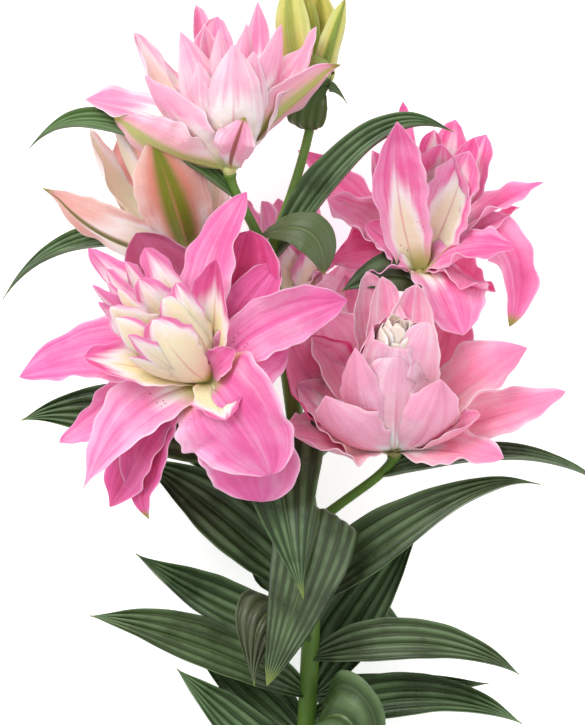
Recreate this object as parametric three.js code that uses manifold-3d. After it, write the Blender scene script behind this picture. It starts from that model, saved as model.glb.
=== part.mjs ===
// A cut stem of a double pink oriental lily, laid down on a table: five open blooms, one half open,
// one bud just opening, the leafy stem that carries them and its bare cut end.
//
// Millimetres. The stem lies along +Y with the blooms at its +Y end, and the table is the plane z = 0.
// Places are written in the plant's own frame, whose origin is under the middle of the flowering half,
// and the whole plant is shifted at the end so that the origin is the middle of its footprint.
import * as THREE from "three";
import { mergeVertices } from "three/addons/utils/BufferGeometryUtils.js";
import Module from "manifold-3d";

const wasm = await Module();
wasm.setup();

const V = (x, y, z) => new THREE.Vector3(x, y, z);
const at = (place) => V(...place);

// The middle of the plant's footprint, in the plant's own frame.
const FOOTPRINT_MIDDLE = [4.4, -86.4, 0];

// The stem's centreline, from the cut end up to where the topmost stalk leaves it.
const STEM_LINE = [
  [2, -384, 4.7],
  [2.4, -357, 4.7],
  [5.6, -290, 17],
  [8, -199, 37],
  [10, -150, 46],
  [9, -84, 57],
  [3, -43, 63],
  [-5, 12, 71],
  [-13, 57, 78],
];
const STEM_RADIUS = 5.6;
const STEM_TOP_RADIUS = 4;
const STEM_SIDES = 8;
const STEM_STEPS = 18;
// The stalk of each bloom, and the ball at its end that the petals grow from.
const STALK_RADIUS = 2.9;
const STALK_SIDES = 6;
const STALK_STEPS = 6;
const HEART_RADIUS = 7.5;
const SEAT_GAP = 0.3; // between two pieces that touch

// A blade never gets narrower than this share of its full width, so that its tip is cut off blunt.
const TIP_SHARE = 0.07;
// A blade that meets the table is pressed flat on it, and eases onto it over this height.
const TABLE_EASE = 4;

// The forms a blade can take. cup is the angle its cross-section turns through on each side of the
// midrib, fold the slope of each side of a V-folded one, wave the height of the waves along its
// edges, claw the width at the root as a share of the full width, and swell and taper how it widens.
const OUTER = { thick: 1.1, cup: 0.5, fold: 0, wave: 2.6, waves: 1.7, claw: 0.12, swell: 1, taper: 0.75, across: 4, along: 4 };
const INNER = { thick: 1.1, cup: 0.95, fold: 0, wave: 0.6, waves: 1.2, claw: 0.16, swell: 0.9, taper: 0.65, across: 2, along: 4 };
const LEAF = { thick: 1, cup: 0, fold: 0.2, wave: 1.2, waves: 1.3, claw: 0.24, swell: 0.95, taper: 1, across: 2, along: 6 };

// Half the width of a blade at share s of its length, as a share of half its full width: it swells
// from the root as s^swell, and falls to the tip as (1-s)^taper.
function outline(s, form) {
  const widest = form.swell / (form.swell + form.taper);
  const peak = widest ** form.swell * (1 - widest) ** form.taper;
  const body = (s ** form.swell * (1 - s) ** form.taper) / peak;
  return Math.max(body + form.claw * (1 - s) ** 4, TIP_SHARE);
}

// Keeps a height above the table: heights well over it stay, and the rest ease down onto it.
function onTable(z, lowest) {
  if (z > lowest + TABLE_EASE) return z;
  if (z < lowest - TABLE_EASE) return lowest;
  return lowest + (z - lowest + TABLE_EASE) ** 2 / (4 * TABLE_EASE);
}

// One point of a blade's middle surface: share s along the midrib, and u across it from -1 to 1.
function bladePoint(midrib, side, width, phase, form, s, u) {
  const ahead = midrib.getTangent(s);
  const right = side.clone().addScaledVector(ahead, -side.dot(ahead)).normalize();
  const up = right.clone().cross(ahead);
  const half = (width / 2) * outline(s, form);
  const cup = Math.max(form.cup, 1e-3);
  const ripple = Math.sin(2 * Math.PI * (form.waves * s + phase) + (u > 0 ? 2.1 : 0));
  const height =
    (half * (1 - Math.cos(cup * u))) / cup +
    half * form.fold * Math.abs(u) +
    form.wave * ripple * Math.sin(Math.PI * s) * u * u;
  const p = midrib.getPoint(s).addScaledVector(right, (half * Math.sin(cup * u)) / cup).addScaledVector(up, height);
  p.z = onTable(p.z, form.thick / 2);
  return p;
}

// A closed blade: a grid of points on its middle surface, thickened along the surface's own normals.
function blade(midrib, side, width, phase, form) {
  const { across, along, thick } = form;
  const columns = across + 1;
  const middle = [];
  for (let i = 0; i <= along; i++)
    for (let j = 0; j < columns; j++)
      middle.push(bladePoint(midrib, side, width, phase, form, i / along, -1 + (2 * j) / across));
  const clamp = THREE.MathUtils.clamp;
  const spot = (i, j) => middle[clamp(i, 0, along) * columns + clamp(j, 0, across)];
  const positions = [];
  for (const face of [1, -1])
    for (let i = 0; i <= along; i++)
      for (let j = 0; j < columns; j++) {
        const lengthwise = spot(i + 1, j).clone().sub(spot(i - 1, j));
        const crosswise = spot(i, j + 1).clone().sub(spot(i, j - 1));
        const normal = crosswise.cross(lengthwise).normalize();
        const p = spot(i, j).clone().addScaledVector(normal, (face * thick) / 2);
        p.z = Math.max(p.z, 0);
        positions.push(...p.toArray());
      }
  const upper = (i, j) => i * columns + j;
  const lower = (i, j) => (along + 1) * columns + i * columns + j;
  const triangles = [];
  const quad = (a, b, c, d) => triangles.push(a, b, c, a, c, d);
  // Both faces are split along the same diagonal, so that they never cross.
  for (let i = 0; i < along; i++)
    for (let j = 0; j < across; j++) {
      quad(upper(i, j), upper(i, j + 1), upper(i + 1, j + 1), upper(i + 1, j));
      const [a, b, c, d] = [lower(i, j), lower(i, j + 1), lower(i + 1, j + 1), lower(i + 1, j)];
      triangles.push(a, c, b, a, d, c);
    }
  for (let i = 0; i < along; i++) {
    quad(upper(i, 0), upper(i + 1, 0), lower(i + 1, 0), lower(i, 0));
    quad(lower(i, across), lower(i + 1, across), upper(i + 1, across), upper(i, across));
  }
  for (let j = 0; j < across; j++) {
    quad(upper(0, j), lower(0, j), lower(0, j + 1), upper(0, j + 1));
    quad(lower(along, j), upper(along, j), upper(along, j + 1), lower(along, j + 1));
  }
  return solid(positions, triangles);
}

function solid(positions, triangles) {
  const mesh = new wasm.Mesh({
    numProp: 3,
    vertProperties: new Float32Array(positions),
    triVerts: new Uint32Array(triangles),
  });
  return new wasm.Manifold(mesh);
}

function solidOf(geometry) {
  geometry.deleteAttribute("normal");
  geometry.deleteAttribute("uv");
  const merged = mergeVertices(geometry, 1e-4);
  return solid(merged.getAttribute("position").array, merged.index.array);
}

// Petals can close a hollow between them: what is left is the outer skin of the largest body.
function outerShell(made) {
  return made.decompose().reduce((best, body) => (body.volume() > best.volume() ? body : best));
}

// The upward face of a blade whose midrib runs from root to tip: as near to "facing" as it can be.
function upwardFace(root, tip, facing) {
  const chord = tip.clone().sub(root).normalize();
  return facing.clone().addScaledVector(chord, -facing.dot(chord)).normalize();
}

// A round tube along a curve, closed at both ends.
function tube(curve, steps, sides, radiusAt) {
  const frames = curve.computeFrenetFrames(steps, false);
  const positions = [];
  for (let i = 0; i <= steps; i++)
    for (let k = 0; k < sides; k++) {
      const angle = (2 * Math.PI * (k + 0.5)) / sides; // so that a flat side is below
      const p = curve
        .getPointAt(i / steps)
        .addScaledVector(frames.normals[i], radiusAt(i / steps) * Math.cos(angle))
        .addScaledVector(frames.binormals[i], radiusAt(i / steps) * Math.sin(angle));
      p.z = Math.max(p.z, 0);
      positions.push(...p.toArray());
    }
  positions.push(...curve.getPointAt(0).toArray(), ...curve.getPointAt(1).toArray());
  const start = (steps + 1) * sides;
  const triangles = [];
  for (let k = 0; k < sides; k++) {
    const next = (k + 1) % sides;
    for (let i = 0; i < steps; i++) {
      const [a, b, c, d] = [i * sides + k, i * sides + next, (i + 1) * sides + next, (i + 1) * sides + k];
      triangles.push(a, b, c, a, c, d);
    }
    triangles.push(start, next, k, start + 1, steps * sides + k, steps * sides + next);
  }
  return solid(positions, triangles);
}

const stemCurve = new THREE.CatmullRomCurve3(STEM_LINE.map(at));
const stemRadiusAt = (share) => THREE.MathUtils.lerp(STEM_RADIUS, STEM_TOP_RADIUS, share ** 3);

// The share of a curve's length at which it is at height y of the plant's frame.
function shareAt(curve, y) {
  let [low, high] = [0, 1];
  for (let k = 0; k < 30; k++) {
    const middle = (low + high) / 2;
    if (curve.getPointAt(middle).y < y) low = middle;
    else high = middle;
  }
  return low;
}

// Each bloom: heart is the middle of the ball that its petals grow from, axis the way it opens, and
// pedicel the stalk that carries it, from that height along the stem: it leaves towards "leaving", and
// comes to the bloom straight along its axis over "reach". A petal's row is the offset of
// its tip from the heart x, y, z, its full width, how far its middle is arched towards the upper face,
// how far it is swept to the side, how far its upper face is turned about its chord from the sky in
// degrees, and how far its outer third is curled towards the upper face.
const BLOOMS = {
  bloom_top: {
    heart: [-35, 111, 94], axis: [-0.08, 0.93, 0.36],
    pedicel: { from: 52, leaving: [-16, 70, 82], reach: 13 },
    outer: [
      [-61, 25, 11, 42, -4, 1, 82, -2],
      [-79, 33, -11, 36, 7, 4, 70, -3],
      [59, 54, 9, 44, -5, 3, -108, -9],
      [48, 73, -8, 40, -4, -2, -67, -6],
      [8, 22, 36, 32, -6, 1, 181, -9],
      [-18, 37, -46, 40, 2, -1, 10, -6],
      [24, 34, -43, 40, 3, 0, -49, -4],
    ],
    inner: [
      [-52, 70, -11, 28, -8, 1, 62, 1],
      [-45, 45, 31, 36, -7, 0, 117, 2],
      [-26, 69, 20, 30, -10, -1, 187, -2],
      [-18, 86, -28, 20, -9, 3, 36, -1],
      [-6, 79, -14, 30, -3, -4, 7, -2],
      [-13, 73, 10, 24, -6, 2, 28, 3],
      [3, 61, 42, 42, -11, 0, 186, 1],
      [16, 87, -14, 26, -9, 1, -42, -2],
      [10, 74, 19, 24, -5, 1, -128, -1],
      [29, 73, 16, 40, -8, 1, -116, 1],
      [-40, 58, -3, 16, -1, 0, 71, 1],
    ],
  },
  bloom_half_open: {
    heart: [-59, 62, 58], axis: [-0.45, 0.87, 0.15],
    pedicel: { from: 34, leaving: [-19, 39, 64], reach: 12 },
    outer: [
      [-76, 36, 2, 44, -7, 2, 119, -4],
      [-18, 61, 24, 52, -14, -3, 179, 2],
      [4, 66, -3, 50, -14, -1, -120, 0],
      [-35, 72, -26, 46, -12, -1, 2, 0],
    ],
    inner: [
      [-53, 67, -5, 28, -11, 1, 73, -1],
      [-39, 66, 12, 26, -5, -1, 103, 0],
      [-25, 73, -6, 24, -7, 1, -48, -1],
      [-9, 72, 2, 22, -9, -2, -82, 1],
    ],
  },
  bloom_left: {
    heart: [-48, -7, 118], axis: [-0.5, 0.55, 0.67],
    pedicel: { from: -59, leaving: [-1, -43, 72], reach: 22 },
    outer: [
      [-101, -1, -13, 40, 9, 8, 37, -4],
      [-67, -62, -7, 38, 11, 1, 58, -6],
      [-36, -75, -18, 40, 12, 5, 52, -9],
      [36, -53, 8, 62, 15, 0, 19, -7],
      [31, -69, -10, 58, 12, -2, 17, -8],
      [78, 39, -15, 50, 12, -8, 5, -7],
      [57, 29, -1, 30, 12, 1, -10, -4],
      [28, 81, -28, 48, -5, -1, -34, -3],
      [23, 100, -19, 38, 3, 0, -55, -4],
      [-38, 78, -41, 50, 2, 1, -14, -3],
      [-81, -35, -17, 24, 8, -1, 48, -3],
    ],
    inner: [
      [-63, 69, 3, 22, -5, -1, 143, -1],
      [-60, 49, 25, 18, -7, -1, 91, 1],
      [-32, 69, 19, 24, -5, -1, -159, -2],
      [-35, 52, 26, 20, -6, -1, 166, 1],
      [-50, 37, 38, 22, -4, 0, 146, -1],
      [7, 63, 16, 28, -4, -3, -59, 1],
      [-29, 22, 49, 42, -15, 2, 172, -2],
      [-65, 10, 13, 28, 1, 0, 47, -2],
      [11, -23, 29, 24, 0, -1, -2, -3],
      [17, 14, 21, 16, 2, 0, -23, 1],
      [-48, 31, 45, 34, -14, -3, 132, -6],
      [-24, 41, 35, 30, -9, -3, -150, -1],
    ],
  },
  bloom_right_back: {
    heart: [70, 54, 56], axis: [0, 0.88, 0.47],
    pedicel: { from: -21, leaving: [21, 0, 50], reach: 20 },
    outer: [
      [69, 46, -10, 24, 6, -3, -58, -4],
      [56, 32, -15, 22, 2, 1, -55, 3],
      [51, -34, 10, 30, 28, -21, -54, -10],
      [24, -39, 20, 42, 6, 0, -48, -6],
      [40, -15, 8, 36, 4, 1, -76, -5],
      [-49, 2, -1, 42, 4, 0, 71, -4],
      [-51, 37, -3, 28, 7, -1, 61, -5],
      [-67, 64, -26, 28, 1, 3, 42, -2],
      [52, 9, 23, 26, 7, 1, -52, -2],
      [30, 38, -60, 42, 7, -1, -24, 0],
      [-26, 28, -60, 42, 6, 2, 48, -1],
    ],
    inner: [
      [-13, 77, 28, 40, -6, 2, 41, -1],
      [-9, 90, -2, 16, -6, -1, 21, 2],
      [20, 80, 3, 30, -3, 0, -8, -5],
      [37, 72, -3, 30, -7, 0, -36, 1],
      [12, 69, 31, 32, 0, 2, 1, 4],
      [25, 63, 21, 32, -3, 1, -10, -1],
      [-26, 63, 2, 34, -6, -1, 60, 2],
    ],
  },
  bloom_right_front: {
    heart: [56, -44, 76], axis: [0.02, 0.78, 0.62],
    pedicel: { from: -93, leaving: [20, -78, 50], reach: 16 },
    outer: [
      [73, 52, -2, 44, 9, -2, -66, 5],
      [94, 28, 1, 36, 2, 1, -29, -1],
      [59, -8, 34, 30, 1, 1, -44, 3],
      [-60, 8, 29, 36, -3, 0, 57, -3],
      [-57, 59, -1, 42, -7, -2, 62, 1],
      [-36, 67, -17, 44, 0, -1, 32, 9],
      [35, 84, -36, 46, -12, 0, -15, -6],
    ],
    inner: [
      [-7, 91, 12, 30, -3, 0, 21, -1],
      [-15, 94, -5, 24, -6, 0, 35, 0],
      [12, 87, 8, 30, -10, 0, -14, 0],
      [-23, 53, 31, 32, -12, -2, 101, -1],
      [-23, 51, 42, 36, -16, 2, 124, -8],
      [16, 64, 55, 42, -17, 2, -169, 0],
      [-13, 70, 40, 30, -11, 2, 124, -1],
      [-6, 76, 27, 26, -4, 3, 27, -5],
      [18, 67, 38, 30, -14, -1, -107, -1],
      [-38, 25, 52, 46, -10, 1, 122, -3],
      [25, 35, 54, 44, -15, -2, -143, -1],
      [46, 15, 36, 26, -5, 1, -69, 0],
      [0, 58, 41, 16, -3, -1, 175, -1],
      [9, 71, 37, 24, -8, 2, -29, -1],
    ],
  },
  bloom_rear: {
    heart: [-0, 39, 40], axis: [-0.25, 0.9, 0.3],
    pedicel: { from: -32, leaving: [4, -14, 48], reach: 16 },
    outer: [
      [-25, 51, 13, 24, -3, -2, 56, -1],
      [-8, 52, 0, 26, -3, -1, -30, -1],
      [24, 16, 11, 34, 2, 0, -79, -1],
      [-39, 16, -43, 40, 6, 0, 48, 0],
      [-33, -17, -15, 32, 5, 1, 77, 0],
      [33, -4, -42, 40, 7, -1, -100, 0],
      [4, 53, -41, 40, 3, 0, -24, 1],
    ],
    inner: [
      [-17, 50, 16, 20, -4, 0, 45, 0],
      [-4, 26, 19, 22, -6, 1, -157, 0],
      [7, 23, 17, 22, -6, 1, -105, -1],
    ],
  },
  bud: {
    heart: [11, 149, 64], axis: [0, 0.97, 0.1],
    pedicel: { from: 59, leaving: [-2, 87, 76], reach: 16 },
    outer: [
      [-8, 63, 4, 30, -8, 1, 134, 0],
      [18, 51, 0, 28, -6, 0, -112, -2],
      [4, 58, -8, 30, -7, 0, -5, 0],
    ],
    inner: [
      [-4, 53, -2, 16, -4, 1, 30, 2],
    ],
  },
};

// Each leaf: from is the height at which it leaves the stem, or the bloom whose stalk it leaves. Its
// midrib starts towards "leaving", comes to its tip from "bending", and face says how far the upper
// side is turned from up the stem towards the sky, in degrees.
const LEAVES = {
  leaf_top_left: { from: "bloom_top", leaving: [-63, 121, 92], bending: [-117, 151, 90], tip: [-145, 117, 76], width: 18, face: 40 },
  leaf_bud: { from: "bud", leaving: [-4, 153, 78], bending: [23, 172, 84], tip: [29, 142, 76], width: 22, face: 60 },
  leaf_02: { from: 55, leaving: [-51, 68, 12], bending: [-128, 88, 38], tip: [-161, 35, 30], width: 20, face: 40 },
  leaf_03: { from: 61, leaving: [11, 87, 82], bending: [43, 149, 100], tip: [88, 126, 96], width: 26, face: 45 },
  leaf_04: { from: 74, leaving: [-4, 76, 106], bending: [29, 84, 112], tip: [17, 48, 98], width: 26, face: 70 },
  leaf_05: { from: "bloom_right_back", leaving: [77, 62, 84], bending: [48, 68, 94], tip: [27, 39, 86], width: 24, face: -10 },
  leaf_06: { from: "bloom_right_front", leaving: [59, -56, 66], bending: [131, -37, 76], tip: [170, -67, 60], width: 16, face: 40 },
  leaf_07: { from: -128, leaving: [42, -113, 62], bending: [95, -62, 80], tip: [136, -67, 72], width: 29, face: 50 },
  leaf_08: { from: -182, leaving: [26, -158, 36], bending: [51, -120, 42], tip: [72, -84, 46], width: 34, face: 50 },
  leaf_09: { from: -162, leaving: [43, -153, 66], bending: [89, -147, 76], tip: [125, -172, 60], width: 25, face: 60 },
  leaf_11: { from: -198, leaving: [44, -185, 38], bending: [87, -177, 52], tip: [127, -200, 42], width: 26, face: 60 },
  leaf_12: { from: -215, leaving: [13, -166, 80], bending: [40, -168, 92], tip: [37, -241, 62], width: 36, face: 85 },
  leaf_13: { from: -235, leaving: [-12, -220, 46], bending: [-43, -193, 54], tip: [-64, -169, 54], width: 28, face: 50 },
  leaf_14: { from: -182, leaving: [-23, -165, 58], bending: [-78, -144, 62], tip: [-112, -140, 52], width: 28, face: 60 },
  leaf_15: { from: -153, leaving: [-17, -148, 30], bending: [-56, -131, 32], tip: [-87, -106, 34], width: 30, face: 50 },
  leaf_16: { from: -208, leaving: [-12, -194, 24], bending: [-37, -172, 22], tip: [-59, -153, 20], width: 30, face: 50 },
  leaf_17: { from: -119, leaving: [20, -47, 78], bending: [20, -57, 104], tip: [-14, -177, 84], width: 52, face: 88 },
  leaf_18: { from: -152, leaving: [-7, -113, 70], bending: [-27, -121, 90], tip: [-22, -177, 72], width: 28, face: 80 },
  leaf_19: { from: -78, leaving: [-0, -16, 68], bending: [-20, -21, 96], tip: [6, -128, 104], width: 34, face: 85 },
  leaf_20: { from: -125, leaving: [-17, -105, 46], bending: [-56, -66, 51], tip: [-85, -55, 46], width: 36, face: 60 },
  leaf_21: { from: -88, leaving: [-20, -67, 24], bending: [-51, -51, 22], tip: [-78, -44, 26], width: 22, face: 45 },
  leaf_22: { from: -37, leaving: [-40, -43, 52], bending: [-106, -9, 54], tip: [-150, -32, 46], width: 24, face: 50 },
  leaf_24: { from: -137, leaving: [-6, -124, 20], bending: [-17, -110, 20], tip: [-27, -98, 26], width: 26, face: 50 },
  leaf_25: { from: -186, leaving: [32, -186, 8], bending: [70, -182, 28], tip: [109, -178, 34], width: 20, face: 50 },
  leaf_26: { from: -235, leaving: [37, -223, 36], bending: [81, -218, 46], tip: [121, -241, 34], width: 28, face: 60 },
  leaf_27: { from: -252, leaving: [-23, -243, 32], bending: [-67, -224, 40], tip: [-106, -241, 24], width: 28, face: 60 },
  leaf_28: { from: -265, leaving: [32, -264, 24], bending: [67, -265, 32], tip: [98, -293, 12], width: 24, face: 60 },
  leaf_29: { from: -268, leaving: [-12, -269, 24], bending: [-48, -269, 30], tip: [-84, -298, 10], width: 24, face: 60 },
  leaf_30: { from: -145, leaving: [21, -137, 0], bending: [45, -141, -4], tip: [66, -153, -6], width: 28, face: -50 },
  leaf_31: { from: -103, leaving: [-17, -88, 16], bending: [-44, -76, -3], tip: [-66, -92, -6], width: 28, face: -50 },
  leaf_32: { from: -222, leaving: [-7, -202, 4], bending: [-34, -202, -4], tip: [-56, -224, -6], width: 26, face: -50 },
  leaf_33: { from: -59, leaving: [26, -37, 40], bending: [59, -18, 14], tip: [87, -37, 4], width: 26, face: -30 },
};
const LEAF_SHARE_ON_STALK = { bud: 0.9, bloom_top: 0.72, bloom_right_front: 0.72, bloom_right_back: 0.6 };

function midribOf(root, tip, arch, sweep, face, curl) {
  const normal = upwardFace(root, tip, V(0, 0, 1));
  const chord = tip.clone().sub(root);
  normal.applyAxisAngle(chord.clone().normalize(), THREE.MathUtils.degToRad(face));
  const side = chord.clone().cross(normal).normalize();
  const lift = (4 / 3) * arch;
  const push = (4 / 3) * sweep;
  const first = root.clone().addScaledVector(chord, 1 / 3).addScaledVector(normal, lift).addScaledVector(side, push);
  const second = root.clone().addScaledVector(chord, 2 / 3).addScaledVector(normal, lift + curl).addScaledVector(side, push);
  return { midrib: new THREE.CubicBezierCurve3(root, first, second, tip), side };
}

function bloom({ heart, outer, inner }) {
  const centre = at(heart);
  const pieces = [solidOf(new THREE.IcosahedronGeometry(HEART_RADIUS, 1).translate(...heart))];
  for (const [rows, form] of [[outer, OUTER], [inner, INNER]])
    rows.forEach(([x, y, z, width, arch, sweep, face, curl], k) => {
      const tip = V(x, y, z).add(centre);
      const root = V(x, y, z).setLength(HEART_RADIUS - 1.2).add(centre);
      const { midrib, side } = midribOf(root, tip, arch, sweep, face, curl);
      pieces.push(blade(midrib, side, width, 0.37 * k, form));
    });
  return outerShell(wasm.Manifold.union(pieces));
}

const stalks = {};
const group = new THREE.Group();
function addMesh(name, made, colour, roughness) {
  const { numProp, vertProperties, triVerts } = made.getMesh();
  const positions = new Float32Array((vertProperties.length / numProp) * 3);
  for (let i = 0; i < positions.length / 3; i++)
    positions.set(vertProperties.subarray(i * numProp, i * numProp + 3), i * 3);
  const geometry = new THREE.BufferGeometry();
  geometry.setAttribute("position", new THREE.BufferAttribute(positions, 3));
  geometry.setIndex(new THREE.BufferAttribute(triVerts, 1));
  const mesh = new THREE.Mesh(geometry, new THREE.MeshStandardMaterial({ color: colour, roughness }));
  mesh.name = name;
  group.add(mesh);
}

// The stem, and the same a little thicker, which is kept clear by whatever sits against it.
const stem = [];
const stemRoom = [];
function addStem(curve, steps, sides, radiusAt) {
  stem.push(tube(curve, steps, sides, radiusAt));
  stemRoom.push(tube(curve, steps, sides, (share) => radiusAt(share) + SEAT_GAP / Math.cos(Math.PI / sides)));
}
addStem(stemCurve, STEM_STEPS, STEM_SIDES, stemRadiusAt);
for (const [name, { heart, axis, pedicel }] of Object.entries(BLOOMS)) {
  const start = stemCurve.getPointAt(shareAt(stemCurve, pedicel.from));
  const end = at(axis).setLength(-(HEART_RADIUS + SEAT_GAP)).add(at(heart));
  const arriving = at(axis).setLength(-pedicel.reach).add(end);
  stalks[name] = new THREE.CubicBezierCurve3(start, at(pedicel.leaving), arriving, end);
  addStem(stalks[name], STALK_STEPS, STALK_SIDES, () => STALK_RADIUS);
}
addMesh("stem", wasm.Manifold.union(stem), 0x6a8f3a, 0.5);

const BLOOM_COLOURS = {
  bloom_top: 0xf6b4d4,
  bloom_half_open: 0xf0cdb0,
  bloom_left: 0xf07fb4,
  bloom_right_back: 0xee7fb4,
  bloom_right_front: 0xf3a2ca,
  bloom_rear: 0xf2a6c4,
  bud: 0xb9c45a,
};
for (const [name, spec] of Object.entries(BLOOMS)) addMesh(name, bloom(spec), BLOOM_COLOURS[name], 0.6);

const clearance = wasm.Manifold.union(stemRoom);
for (const [name, { from, leaving, bending, tip, width, face }] of Object.entries(LEAVES)) {
  const onStalk = typeof from === "string";
  const curve = onStalk ? stalks[from] : stemCurve;
  const share = onStalk ? LEAF_SHARE_ON_STALK[from] : shareAt(curve, from);
  const radius = onStalk ? STALK_RADIUS : stemRadiusAt(share);
  const middle = curve.getPointAt(share);
  const along = curve.getTangentAt(share);
  const out = at(leaving).sub(middle);
  out.addScaledVector(along, -out.dot(along)).normalize();
  const root = middle.addScaledVector(out, radius * 0.6);
  const turn = THREE.MathUtils.degToRad(face);
  const normal = upwardFace(root, at(tip), V(0, Math.cos(turn), Math.sin(turn)));
  const side = at(tip).sub(root).cross(normal).normalize();
  const midrib = new THREE.CubicBezierCurve3(root, at(leaving), at(bending), at(tip));
  const made = blade(midrib, side, width, 0, LEAF).subtract(clearance);
  addMesh(name, outerShell(made), 0x3f6344, 0.45);
}

group.position.copy(at(FOOTPRINT_MIDDLE)).negate();

export default group;
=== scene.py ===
"""A cut stem of double pink oriental lily, lying on a pale floor and seen from straight above.

Every size is in millimetres in the plant's own frame, whose +Y runs up the stem to the flowers and
whose +Z points up from the floor. row_frame() turns them into metres in the row's frame.
"""
import bpy
import numpy as np
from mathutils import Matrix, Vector


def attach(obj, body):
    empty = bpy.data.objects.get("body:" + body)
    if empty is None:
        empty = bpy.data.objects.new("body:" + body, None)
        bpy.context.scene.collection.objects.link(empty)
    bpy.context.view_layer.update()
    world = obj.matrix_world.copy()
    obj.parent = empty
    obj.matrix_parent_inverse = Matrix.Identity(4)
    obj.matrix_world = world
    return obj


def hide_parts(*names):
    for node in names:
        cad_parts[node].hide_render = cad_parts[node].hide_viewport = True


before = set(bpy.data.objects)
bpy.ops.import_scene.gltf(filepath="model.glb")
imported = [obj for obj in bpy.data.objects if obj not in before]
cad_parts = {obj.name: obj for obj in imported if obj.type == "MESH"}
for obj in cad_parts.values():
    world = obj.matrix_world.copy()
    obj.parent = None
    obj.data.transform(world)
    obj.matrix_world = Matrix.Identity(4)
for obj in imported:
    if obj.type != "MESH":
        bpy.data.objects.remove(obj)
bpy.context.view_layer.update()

# Floor, light and camera. A cut flower in a catalogue photograph has a white ground and soft light
# from all round, stronger from above its left shoulder. The camera looks straight down at the lying
# stem, so that it sees what the photograph shows of the standing one.
FOOTPRINT_MIDDLE = np.array([4.4, -86.4, 0.0])
MM_PER_PIXEL = 0.55
PHOTO_HEIGHT_PX = 725
SENSOR_MM = 36.0
CAMERA_HEIGHT = 4000.0
SHARP_HEIGHT = 70.0  # the height at which the picture has its stated scale
scene = bpy.context.scene
scene.view_settings.view_transform = "Standard"


def row_frame(points):
    """Points in mm in the plant's frame, as metres in the row's frame: (p - middle) / 1000."""
    return (np.asarray(points, float) - FOOTPRINT_MIDDLE) / 1000


def linear(hexcode):
    """An sRGB hex colour as linear RGBA: ((c + 0.055) / 1.055) ** 2.4, or c / 12.92 if c is small."""
    c = np.array([int(hexcode[i:i + 2], 16) / 255 for i in (0, 2, 4)])
    c = np.where(c > 0.04045, ((c + 0.055) / 1.055) ** 2.4, c / 12.92)
    return (*c.tolist(), 1.0)


def add(tree, kind, inputs=None, **settings):
    """Adds one shader node with its settings. An input is a value, or a node or socket to link."""
    node = tree.nodes.new("ShaderNode" + kind)
    for name, value in settings.items():
        setattr(node, name, value)
    for name, value in (inputs or {}).items():
        if isinstance(value, bpy.types.Node):
            value = value.outputs[0]
        if isinstance(value, bpy.types.NodeSocket):
            tree.links.new(value, node.inputs[name])
        else:
            node.inputs[name].default_value = value
    return node


def new_material(name):
    material = bpy.data.materials.new(name)
    material.use_nodes = True
    material.node_tree.nodes.clear()
    return material, material.node_tree


camera_data = bpy.data.cameras.new("camera")
camera_data.sensor_width = SENSOR_MM
camera_data.lens = SENSOR_MM * (CAMERA_HEIGHT - SHARP_HEIGHT) / (MM_PER_PIXEL * PHOTO_HEIGHT_PX)
camera_data.clip_end = 100
camera = bpy.data.objects.new("camera", camera_data)
camera.location = row_frame([0, 0, CAMERA_HEIGHT])
scene.collection.objects.link(camera)
scene.camera = camera

FLOOR_HALF_SIDE = 6.0  # metres
floor_mesh = bpy.data.meshes.new("floor")
floor_mesh.from_pydata(
    [(x * FLOOR_HALF_SIDE, y * FLOOR_HALF_SIDE, 0) for x, y in ((-1, -1), (1, -1), (1, 1), (-1, 1))],
    [], [(0, 1, 2, 3)])
floor = bpy.data.objects.new("floor", floor_mesh)
scene.collection.objects.link(floor)
# White paper: quite matt. It gives off some light of its own, in place of the lamps that keep a
# studio's white ground even.
floor_material, tree = new_material("white paper floor")
paper = add(tree, "BsdfPrincipled", {
    "Base Color": linear("ebebeb"), "Roughness": 0.9,
    "Emission Color": linear("ffffff"), "Emission Strength": 0.62})
add(tree, "OutputMaterial", {"Surface": paper})
floor_mesh.materials.append(floor_material)

world = bpy.data.worlds.new("studio")
world.use_nodes = True
world.node_tree.nodes["Background"].inputs["Color"].default_value = linear("ffffff")
world.node_tree.nodes["Background"].inputs["Strength"].default_value = 0.7
scene.world = world
LAMPS_POINT_AT = Vector((0, 0.1, 0))
# Each lamp: its place and side in metres, and its power in watts.
for name, place, side, watts in (
    ("key", (-1.3, 1.6, 2.4), 1.6, 70.0),
    ("fill", (1.9, -0.6, 1.8), 2.0, 16.0),
):
    lamp = bpy.data.lights.new(name, "AREA")
    lamp.size = side
    lamp.energy = watts
    lamp_object = bpy.data.objects.new(name, lamp)
    lamp_object.location = place
    lamp_object.rotation_euler = (LAMPS_POINT_AT - Vector(place)).to_track_quat("-Z", "Y").to_euler()
    scene.collection.objects.link(lamp_object)

# The stem and its seven stalks. A lily stem is a smooth, waxy, solid green rod with faint lengthwise
# streaks. Each stalk grows out of it with a swollen foot and widens again under its bloom, and the
# lower end is a plain straight cut. The rods are fused by remeshing, which rounds their joints.
STEM_LINE = np.array([
    [2, -384, 4.7], [2.4, -357, 4.7], [5.6, -290, 17], [8, -199, 37], [10, -150, 46],
    [9, -84, 57], [3, -43, 63], [-5, 12, 71], [-13, 57, 78]], float)
STEM_RADIUS = 5.5
STEM_TOP_RADIUS = 4.0
STEM_POINTS = 240
STALK_RADIUS = 2.8
STALK_FOOT_RADIUS = 4.2
STALK_FOOT_SHARE = 0.2  # of the stalk's length
STALK_FLARE = 1.5
STALK_FLARE_SHARE = 0.07
STALK_POINTS = 70
SEAT = 7.8  # from the middle of a bloom's receptacle to the end of its stalk
STEM_VOXEL = 0.9
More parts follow.
